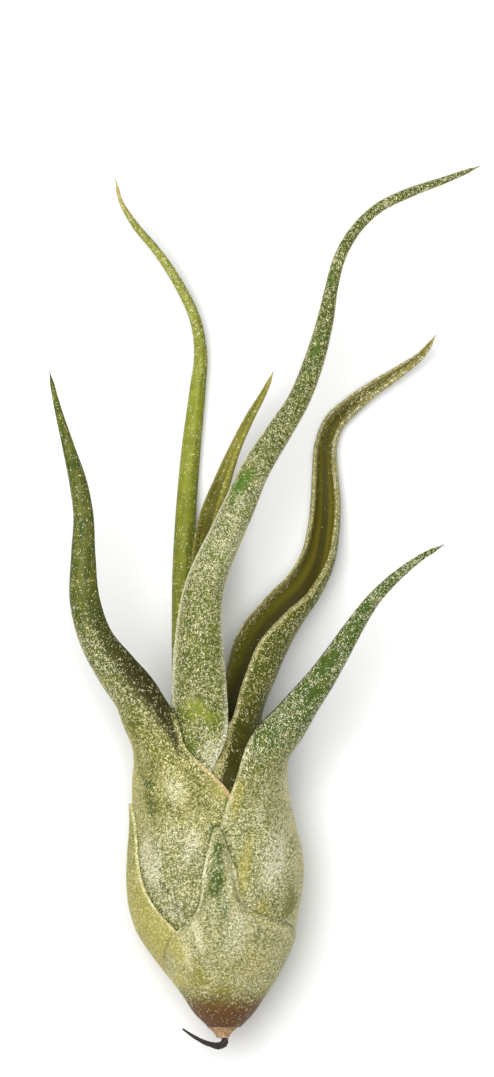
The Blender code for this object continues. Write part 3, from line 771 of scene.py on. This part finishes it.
def blade_section(rows, distance):
    """Outer and inner points of a blade, square to its spine."""
    x, y, z, facing, radius, half, channel = through(rows, distance)[0]
    tangent = direction(rows, distance, 0.5)
    back = square_to(tangent, np.array([math.sin(math.radians(facing)), 0.0, math.cos(math.radians(facing))]))
    side = np.cross(tangent, back)
    turn = np.radians(half) * SPAN
    radius *= TIP + (1 - TIP) * fall(distance, rows[-1, 0], TAPER)
    thick = np.minimum(wall(BLADE, BLADE_EDGE), 0.75 * radius)
    inside = radius - thick
    level = np.cos(np.radians(half)) * inside
    depth = channel * inside * np.cos(turn) + (1 - channel) * level
    centre = np.array([x, y, z])
    outer = centre + radius * (np.outer(np.cos(turn), back) + np.outer(np.sin(turn), side))
    inner = centre + np.outer(depth, back) + np.outer(inside * np.sin(turn), side)
    return [outer, inner]


def leaf_sections(sheath, blade, join):
    """Sections from the sheath's foot to the blade's tip, blended between the join's two heights."""
    rows = np.asarray(blade, float)
    rows = np.column_stack([distances(rows[:, :3]), rows])
    fine = np.linspace(0, rows[-1, 0], 400)
    climb = through(rows, fine)[:, 1]
    top = sheath[-1][0]
    sections = []
    for height in strips(sheath[0][0], top):
        outer, inner = sheath_section(sheath, height)
        if height > join[0]:
            share = rise(height, join[0], join[1] - join[0])
            blade_outer, blade_inner = blade_section(rows, np.interp(height, climb, fine))
            outer = (1 - share) * outer + share * blade_outer
            inner = (1 - share) * inner + share * blade_inner
        sections.append((outer, inner))
    for distance in strips(np.interp(top, climb, fine), rows[-1, 0])[1:]:
        sections.append(blade_section(rows, distance))
    return sections


LEAF_RIGHT = (
    (6, -38, 58, 156, 0), (12, -34, 58, 154, 0), (20, -20, 58, 148, 0), (30, -5, 59, 136, 0), (37, 2, 60, 126, 0),
    (41.5, 7, 60, 117, 0), (46.8, 16, 61, 108, 0), (52, 25, 62, 100, 0), (57, 34, 62, 92, 0), (61, 42, 62, 84, 0),
)
RIGHT_BLADE = (
    (3.4, 45, 1.6, 61, 10.6, 60, 1), (5.8, 50, 3.2, 58, 8.8, 70, 1), (10.2, 57, 5.3, 52, 5.4, 88, 1),
    (13.8, 61, 6, 46, 4.2, 98, 1), (16.3, 64.2, 6.5, 42, 3.5, 103, 1), (20.3, 69.4, 7.2, 38, 2.8, 106, 1),
    (23.2, 73.8, 7.8, 35, 2.35, 106, 1), (26.6, 79.2, 8.3, 33, 1.85, 105, 1), (30.4, 84.6, 8.8, 30, 1.35, 102, 0.9),
    (35.8, 89.9, 9, 28, 0.95, 98, 0.6), (39.4, 92.6, 8.8, 26, 0.66, 93, 0.3), (43.9, 95.1, 8.4, 25, 0.34, 90, 0),
)  # x, y and z of the spine, the way it faces, radius and half angle of its curl, how deep its channel is
skin = Skin(leaf_sections(LEAF_RIGHT, RIGHT_BLADE, (47, 61)))
x, y = skin.xy()
ochre = marks(skin, (
    (5.6, 33, 1.8, 10, -10, 1), (8.6, 24.6, 1.8, 5, -30, 0.8), (4.2, 46.5, 1.9, 6, -12, 0.8)))
silver = marks(skin, (
    (11.4, 34.5, 3.4, 9.5, -4, 1.2), (14.2, 46, 1.8, 8, 5, 0.9), (8.8, 43, 2, 4, -10, 0.5)), 36)
rubbed = marks(skin, (
    (14.7, 26.6, 1.9, 3.6, -15, 1.2), (13.2, 24.2, 1.6, 1.4, 0, 1), (21.4, 72.6, 1.6, 6, -38, 0.9),
    (18.8, 66.6, 1.2, 4, -38, 0.8), (27.4, 81, 0.8, 4, -36, 0.6)), 38)
edge = rim(skin, 0.8) * fall(y, 62, 6)
# The fold beside the sheaths outside gets darker flesh and fewer scales, as painted shade.
fold = crease_shade(skin)
blade = rise(y, 50, 12)
inside = rise(skin.inner[None], 0.15, 0.2) * rise(y, 54, 3)
lip = (skin.sideways < 0) * fall(skin.margin, 0.45, 0.25) * rise(y, 56, 4) * fall(y, 86, 10)
shaded = np.maximum(inside, lip)
raise_up(skin, 0.3 * edge * rise(y, 24, 6))
# Scales laid thicker on the turned-down sides are painted sheen.
cover = np.maximum(0.07, 0.5 + 0.4 * silver - 0.06 * ochre - 0.16 * blade - 0.55 * rubbed + 0.25 * edge
                   + 0.25 * sheen_flanks(skin) - 0.35 * fold + 0.12 * drift(x + 11, y, PATCH, 23))
lay_on("leaf_right", LEAF_RIGHT, skin, 13, look=leaf_look(
    "right leaf", (0.23, 0.22, 0.035), (0.048, 0.088, 0.006), dried=(0.33, 0.28, 0.045)),
    cover=cover * (1 - 0.7 * shaded),
    gold=0.58 - 0.3 * silver + 0.5 * ochre - 0.28 * blade,
    pale=0.45 * fall(y, 46, 10) + 0.7 * silver + 0.6 * edge - 0.1 * ochre,
    deep=0.65 + 0.35 * blade + 0.2 * silver - 0.35 * rubbed * (1 - blade) - 0.35 * ochre + 0.4 * fold,
    dry=0.5 * ochre + 0.2 * edge,
    blush=0.6 * fall(y, 12, 6) + 0.3 * fold,
    dark=0.85 * shaded)


# ---- left leaf
# Its sheath makes the left half of the bulb and ends across the front in a thin papery margin,
# pinkish where it has dried. The blade bends out to the left, then climbs to a fine point.

LEAF_LEFT = (
    (7.8, -158, -54, 52, 0), (13, -157, -54, 51, 0), (20, -153, -54, 47, 0), (30, -145, -54, 38, 0),
    (38, -138, -54, 30, 0), (43, -132, -54, 24, 0), (48, -124, -54, 14, 0), (53, -110, -54, -4, 0),
    (57, -98, -54, -19, 0), (60, -90, -54, -29, 0), (64, -82, -54, -35, 0),
)
LEFT_BLADE = (
    (-2.6, 45, 1.4, -55, 12, 72, 1), (-4.6, 50, 3.6, -54, 10.4, 72, 1), (-8.9, 57, 6.2, -52, 7.7, 68, 1),
    (-12.3, 62, 8, -47, 5.7, 98, 1), (-14.5, 66, 9.2, -44, 4.9, 98, 1), (-18.5, 71, 10.4, -40, 4.25, 102, 1),
    (-22.6, 77, 11.4, -36, 3.4, 105, 1), (-24.8, 84, 12.2, -33, 3, 106, 1), (-25.2, 93, 12.6, -30, 2.4, 105, 1),
    (-25.2, 101, 12.8, -28, 1.95, 104, 1), (-26.1, 106.6, 12.6, -26, 1.76, 102, 0.95),
    (-28.1, 114, 11.9, -26, 1.2, 98, 0.7), (-30.3, 122, 11, -26, 0.66, 93, 0.35),
    (-31.7, 128.2, 10.2, -26, 0.34, 90, 0),
)
skin = Skin(leaf_sections(LEAF_LEFT, LEFT_BLADE, (48, 64)))
x, y = skin.xy()
bright = marks(skin, (
    (-7.8, 48.6, 3, 5.5, 20, 1.1), (-12.2, 33.8, 2.9, 7, 10, 1.4), (-4.4, 37.5, 2.6, 6, 0, 0.9),
    (-8.4, 40, 3.4, 4, 30, 0.5), (-13.8, 55.5, 0.8, 4, 6, 0.5)), 40)
smooth = marks(skin, ((1.2, 48.3, 2.8, 3.6, 40, 0.8),))
smooth = smooth + marks(skin, ((-12.9, 48.5, 1.9, 11, 17, 1.1), (-15.4, 60.5, 2.4, 8, 28, 0.9)), 42)
grey = marks(skin, ((-8.2, 25.6, 2.8, 4.6, 30, 1),), 44)
scratch = marks(skin, (
    (-10.9, 33.2, 0.5, 1.9, 25, 0.7), (-9.8, 29.4, 0.45, 2.6, 38, 0.8), (-11.6, 30, 0.3, 1.6, 12, 0.5)))
edge = rim(skin, 0.9) * rise(y, 44, 4) * fall(y, 62, 4) * (skin.sideways > 0)
# The fold beside the sheaths outside gets darker flesh and fewer scales, as painted shade.
fold = crease_shade(skin)
# Painted shade: the blade's right limb, turned away from the light into the crevice beside the next leaf, gets dark
# flesh and fewer scales.
shaded_limb = rise(skin.out[..., 0], -0.3, 0.7) * rise(y, 59, 6) * smoothstep(skin.out[..., 2] * 2 + 0.9)
shaded_limb = np.maximum(shaded_limb, marks(skin, ((-9.8, 62.5, 2.4, 6.5, 24, 1), (-7.6, 57.4, 1.2, 4.5, 22, 0.8))))
shaded_limb = shaded_limb * fall(y, 90, 24) + 0.25 * shaded_limb
blade = rise(y, 62, 12)
high = rise(y, 74, 16)
raise_up(skin, 0.3 * edge)
lay_on("leaf_left", LEAF_LEFT, skin, 14, look=leaf_look(
    "left leaf", (0.25, 0.24, 0.038), (0.046, 0.073, 0.008), dried=(0.36, 0.32, 0.08),
    blush=(0.66, 0.36, 0.2), dark=(0.036, 0.032, 0.007)),
    # Scales laid thicker on the turned-down sides are painted sheen.
    cover=np.maximum(0.1, 0.48 + 0.4 * bright - 0.28 * smooth + 0.06 * grey - 0.8 * scratch - 0.32 * shaded_limb
                     - 0.06 * blade - 0.38 * high + 0.2 * edge - 0.3 * fold
                     + 0.2 * sheen_flanks(skin) * (skin.out[..., 0] < 0) * (1 - high)
                     + 0.12 * drift(x + 23, y, PATCH, 24)),
    gold=0.54 + 0.4 * rise(y, 36, 8) * fall(y, 66, 8) - 0.3 * bright + 0.3 * smooth - 0.5 * grey,
    pale=0.3 * fall(y, 52, 8) * rise(x, -14, 4) + 0.8 * bright + 0.5 * edge + 0.3 * grey,
    deep=0.6 + 0.25 * blade - 0.1 * high + 0.4 * scratch + 0.12 * smooth + 0.4 * fold,
    dry=0.75 * marks(skin, ((1, 48, 2.8, 3.4, 40, 1),)),
    blush=0.7 * edge * rise(x, -4.5, 3),
    dark=0.85 * shaded_limb + 0.4 * scratch)


# ---- back leaf
# The leaf at the back, which the plant lies on: a long, narrow, nearly bare blade of fresh yellow
# green that runs out level and curls to the left at its tip.

LEAF_BACK = (
    (9.6, 98, 188, 294, 0), (15, 98, 188, 294, 0), (22, 100, 188, 292, 0), (31, 105, 188, 286, 0),
    (40, 114, 188, 276, 0), (48, 128, 190, 264, 0), (54, 146, 194, 248, 0), (60, 168, 199, 232, 0),
    (66, 178, 200, 222, 0),
)
BACK_BLADE = (
    (-2.6, 46, -4.6, 196, 9.6, 66, 1), (-3.8, 52, -7, 204, 6.8, 76, 1), (-4.5, 59, -8.6, 222, 4.6, 90, 1),
    (-5.2, 67, -10.2, 254, 3.2, 100, 1), (-5.9, 77, -11.8, 296, 2.5, 104, 1), (-6.1, 90, -13.2, 322, 2.15, 105, 1),
    (-5.5, 103, -13.8, 330, 2, 105, 1), (-4.6, 114, -14.05, 334, 1.85, 105, 1), (-3.4, 125, -13.6, 338, 1.55, 104, 1),
    (-2.8, 132, -13, 340, 1.27, 102, 0.9), (-3.8, 138.4, -12.1, 342, 1.08, 100, 0.8),
    (-6.8, 145, -11, 344, 0.96, 97, 0.6), (-11.2, 151.7, -10, 345, 0.82, 94, 0.4),
    (-15.6, 157, -9.2, 345, 0.68, 92, 0.25), (-18.2, 161.4, -8.6, 345, 0.42, 90, 0.1),
    (-19.2, 165.6, -8.2, 345, 0.32, 90, 0),
)
skin = Skin(leaf_sections(LEAF_BACK, BACK_BLADE, (50, 64)))
x, y = skin.xy()
lay_on("leaf_back", LEAF_BACK, skin, 15, size=0.16, look=leaf_look(
    "back leaf", (0.28, 0.31, 0.032), (0.11, 0.13, 0.01)),
    cover=0.4 - 0.3 * rise(y, 52, 10) + 0.22 * rise(y, 120, 25) + 0.08 * drift(x, y, PATCH, 25),
    gold=0.8,
    # The deep green's share rises where the blade faces right, as painted shade.
    deep=0.25 + 0.45 * fall(y, 116, 26) + 0.4 * smoothstep(skin.out[..., 0] * 1.6),
    dry=0.8 * rise(y, 156, 10))


# ---- front leaf
# The longest leaf, rising from the middle of the front: broad and silvery at its foot, then
# winding up and away to the right into a thin wire.

LEAF_FRONT = (
    (11.5, -110, -12, 86, 0), (17, -103, -12, 79, 0), (25, -93, -12, 69, 0), (34, -82, -12, 56, 0),
    (42, -71, -12, 24, 0), (48, -62, -14, 2, 0), (53, -53, -16, 4, 0), (58, -44, -14, 9, 0), (66, -36, -12, 10, 0),
)
FRONT_BLADE = (
    (-1.6, 51, 2.2, -9, 9.8, 43, 1), (-2.1, 59, 3.6, -8, 8.2, 44, 1), (-2.6, 66, 5.4, -6, 6.9, 51, 1),
    (-2.9, 73, 7.4, -5, 5.6, 63, 1), (-2.9, 80, 8.6, -4, 4.5, 75, 1), (-2.2, 86, 9.2, -3, 3.9, 84, 1),
    (-0.6, 91, 9.5, -2, 3.5, 91, 1), (1.6, 95.8, 9.4, -1, 3.25, 95, 1), (4.6, 102.4, 9, 0, 3.05, 98, 1),
    (7.5, 109, 8.6, 2, 2.8, 100, 1), (12.3, 116.8, 8, 4, 2.45, 102, 1), (15.8, 122.4, 7.6, 5, 2.15, 104, 1),
    (19, 130.4, 7, 6, 1.95, 104, 1), (21.2, 138.4, 6.4, 6, 1.6, 103, 0.95), (22.4, 144.6, 5.9, 6, 1.25, 102, 0.9),
    (24, 150.4, 5.5, 6, 1.15, 101, 0.85), (27, 155.6, 5.1, 6, 1.05, 99, 0.75), (31.4, 159.8, 4.8, 6, 1, 97, 0.65),
    (37, 162.6, 4.6, 6, 0.95, 95, 0.5), (44.2, 165.2, 4.4, 6, 0.68, 92, 0.25), (50.8, 167.8, 4.4, 6, 0.34, 90, 0),
)
skin = Skin(leaf_sections(LEAF_FRONT, FRONT_BLADE, (51, 66)))
x, y = skin.xy()
smooth = marks(skin, ((-4, 63.2, 3.8, 3.6, -6, 1), (-0.4, 62, 2.6, 2.2, 0, 0.6)), 46)
rubbed = marks(skin, (
    (5.2, 107, 1.8, 5.2, -38, 1.2), (3.2, 103, 0.8, 2.2, 0, 0.8), (19.4, 132.5, 0.9, 6, -16, 0.7),
    (10.8, 114.5, 0.6, 1.4, 0, 0.7), (22.4, 146, 0.7, 3, -10, 0.5)), 48)
foot = marks(skin, ((-1, 55.5, 3.2, 4.6, 0, 1), (3, 58.5, 2, 4, 10, 0.6)))
edge = rim(skin, 1.6) * (1 - 0.8 * rise(y, 118, 30))
high = rise(y, 96, 30)
pale = rise(y, 82, 12) * fall(y, 118, 14)
# The fold beside the sheaths outside gets darker flesh and fewer scales, as painted shade.
fold = crease_shade(skin)
frost = rim(skin, 2.4) * (skin.sideways < 0) * rise(y, 57, 6) * fall(y, 96, 14)
# Scales laid thicker on the turned-down sides are painted sheen.
cover = np.maximum(0.06, 0.38 + 0.34 * foot - 0.26 * smooth - 0.42 * rubbed + 0.3 * edge + 0.08 * pale
                   - 0.06 * high + 0.25 * sheen_flanks(skin) - 0.2 * fold + 0.12 * drift(x + 31, y, PATCH, 26))
lay_on("leaf_front", LEAF_FRONT, skin, 16, look=leaf_look(
    "front leaf", (0.2, 0.235, 0.02), (0.062, 0.085, 0.008), dark=(0.06, 0.15, 0.012)),
    cover=cover + 0.22 * frost,
    gold=0.6 + 0.3 * smooth - 0.4 * foot - 0.4 * edge - 0.3 * pale,
    pale=0.3 * foot + 0.6 * edge + 0.12 * pale + 0.3 * frost,
    deep=0.8 + 0.2 * high - 0.1 * rubbed - 0.75 * smooth - 0.2 * pale - 0.3 * foot + 0.2 * fold,
    dark=0.75 * rubbed)


# ---- channelled leaf
# The leaf right of the middle, rolled into a deep open channel that turns as it climbs: olive and
# smooth inside, with thick margins edged in golden scales and a dry straw tip.

LEAF_CHANNELLED = (
    (13.6, 0, 98, 196, 0), (18, 0, 98, 194, 0), (25, 0, 98, 188, 0), (34, 0, 98, 178, 0), (42, -16, 98, 166, 0),
    (50, -20, 98, 152, 0), (57, -12, 98, 140, 0), (64, 8, 98, 132, 0),
)
CHANNELLED_BLADE = (
    (0.8, 48, 0.3, 98, 8.4, 84, 1), (2.6, 56, 0.6, 100, 5.9, 94, 1), (3.4, 61, 0.6, 102, 5.3, 98, 1),
    (4.5, 66, 0.4, 108, 5.4, 104, 1), (6.3, 71, -0.2, 115, 5.6, 112, 1), (8.7, 76.4, -1.4, 122, 5.5, 117, 1),
    (12.6, 81.8, -3.2, 132, 4.6, 118, 1), (17.1, 87.2, -5.8, 150, 3.75, 118, 1), (19.8, 92.5, -8.6, 166, 3.4, 119, 1),
    (20.9, 98, -10.9, 174, 3.1, 119, 1), (21.3, 103.2, -12.5, 177, 2.9, 119, 1), (21.2, 109, -13.4, 178, 2.5, 118, 1),
    (21.3, 114, -13.75, 177, 2.2, 117, 1), (22.8, 118.4, -13.8, 174, 2.05, 115, 1),
    (26.4, 122, -13.4, 168, 1.8, 112, 1), (30.2, 125, -12.9, 162, 1.5, 109, 0.95),
    (35, 128.2, -12, 157, 1.2, 104, 0.8), (40.4, 132.4, -11, 152, 0.68, 97, 0.4),
    (42.6, 135.6, -10.4, 150, 0.34, 90, 0),
)
skin = Skin(leaf_sections(LEAF_CHANNELLED, CHANNELLED_BLADE, (50, 64)))
x, y = skin.xy()
inside = rise(skin.inner[None], 0.4, 0.4)
edge = rim(skin, 0.7)
golden = fall(x, (y - 51.3) * 0.24 + 2.0, 1.2)
sheath = fall(y, 64, 5) * golden
high = rise(y, 92, 30)
tip = rise(y, 122, 8)
# Painted shade: the floor of the channel is painted dark.
floor = inside * fall(np.abs(skin.out[..., 0]), 0.5, 0.3)
low = fall(y, 70, 16)
lip = inside * fall(skin.margin, 1.7, 1) * rise(y, 68, 18)
bare = 0.97 * inside * (1 - 0.15 * high)
cover = (0.22 + (0.4 - 0.12 * high) * edge + 0.4 * sheath - 0.17 * low * (1 - golden)
         + 0.1 * drift(x + 41, y, PATCH, 27))
lay_on("leaf_channelled", LEAF_CHANNELLED, skin, 17, look=leaf_look(
    "channelled leaf", (0.24, 0.215, 0.028), (0.062, 0.076, 0.005), blush=(0.15, 0.125, 0.016),
    dark=(0.034, 0.028, 0.003)),
    cover=cover * (1 - bare) + 0.34 * lip * (1 - 0.7 * tip),
    gold=0.8 - 0.4 * high * edge,
    pale=0.3 * edge + 0.3 * high * (1 - inside),
    deep=0.95 + 0.1 * inside - 0.3 * edge - 0.5 * sheath - 0.36 * high - 0.15 * lip,
    dry=0.8 * rise(y, 133, 3) + 0.05 * edge,
    blush=inside * (0.3 + 0.5 * rise(y, 68, 30)) * (1 - 0.6 * tip) * (1 - 0.5 * lip),
    dark=0.85 * low * (1 - sheath) + (0.85 - 0.2 * high - 0.4 * tip) * floor * (1 - low))


# ---- short leaf
# The youngest leaf that shows, narrow and olive, tucked behind the front one and dried to straw
# at its tip.

LEAF_SHORT = (
    (15.8, 90, 172, 254, 0), (22, 92, 172, 252, 0), (32, 98, 172, 244, 0), (42, 106, 172, 236, 0),
    (50, 114, 172, 228, 0), (60, 120, 172, 222, 0),
)
SHORT_BLADE = (
    (-1.4, 44, -1.2, 170, 4.6, 88, 1), (-2.2, 54, -1.2, 165, 3.6, 96, 1), (-2.8, 66, -1.6, 158, 2.9, 101, 1),
    (-2.9, 78, -2.2, 150, 2.6, 104, 1), (-2.6, 90, -3.2, 142, 2.4, 105, 1), (-1.2, 100.2, -4.2, 137, 2.2, 104, 1),
    (1, 106.6, -4.6, 134, 1.85, 102, 0.95), (3.9, 114, -4.9, 132, 1.25, 99, 0.8), (6.6, 119.6, -5, 130, 1, 96, 0.6),
    (9.4, 124.6, -5, 130, 0.66, 93, 0.3), (11.3, 128.6, -5, 130, 0.34, 90, 0),
)
skin = Skin(leaf_sections(LEAF_SHORT, SHORT_BLADE, (44, 60)))
x, y = skin.xy()
edge = rim(skin, 0.9)
lay_on("leaf_short", LEAF_SHORT, skin, 18, size=0.16, look=leaf_look(
    "short leaf", (0.26, 0.25, 0.024), (0.082, 0.08, 0.005)),
    cover=0.06 + 0.12 * edge + 0.05 * drift(x + 51, y, PATCH, 28),
    gold=0.85,
    pale=0.15 * edge,
    deep=0.5 + 0.4 * rise(skin.inner[None], 0.4, 0.4) - 0.4 * rise(x, -1, 3),
    dry=0.8 * rise(y, 124, 5))


# ---- table, light and camera
# A plain white surface that the plant lies on, lit by one large soft light from the upper left
# and a pale surround, seen from straight above through a long lens.

TALL = 206.8  # what the camera takes in from top to bottom, in millimetres
LEVEL = 0.006  # at this height over the bulb's axis, in metres
LENS, SENSOR = 600.0, 36.0

ground = bpy.data.meshes.new("table_top")
reach = 30.0
corners = [(-reach, -reach, 0), (reach, -reach, 0), (reach, reach, 0), (-reach, reach, 0)]
ground.from_pydata(corners, [], [(0, 1, 2, 3)])
table_look, tree, shader = paint("white table", 0.9)
shader.inputs["Base Color"].default_value = (0.93, 0.93, 0.93, 1)
shader.inputs["Specular IOR Level"].default_value = 0.1
ground.materials.append(table_look)
table = bpy.data.objects.new("table_top", ground)
scene.collection.objects.link(table)

surround = bpy.data.worlds.new("surround")
surround.use_nodes = True
sky = surround.node_tree.nodes["Background"].inputs
sky["Color"].default_value = (1, 1, 1, 1)
sky["Strength"].default_value = 0.3
scene.world = surround

lamp = bpy.data.lights.new("softbox", "AREA")
lamp.shape = "DISK"
lamp.size = 0.9
lamp.energy = 15.0
softbox = bpy.data.objects.new("softbox", lamp)
softbox.location = (-0.16, 0.1, 1.1)
softbox.rotation_euler = (-softbox.location).to_track_quat("-Z", "Y").to_euler()
softbox.visible_camera = False
scene.collection.objects.link(softbox)

centre = AXIS + np.array([6.14, 96.3, 0.0]) * MM
lens = bpy.data.cameras.new("camera")
lens.lens = LENS
lens.sensor_width = SENSOR
lens.clip_end = 100.0
camera = bpy.data.objects.new("camera", lens)
camera.location = (centre[0], centre[1], AXIS[2] + LEVEL + TALL * MM * LENS / SENSOR)
scene.collection.objects.link(camera)
scene.camera = camera
scene.view_settings.view_transform = "Standard"
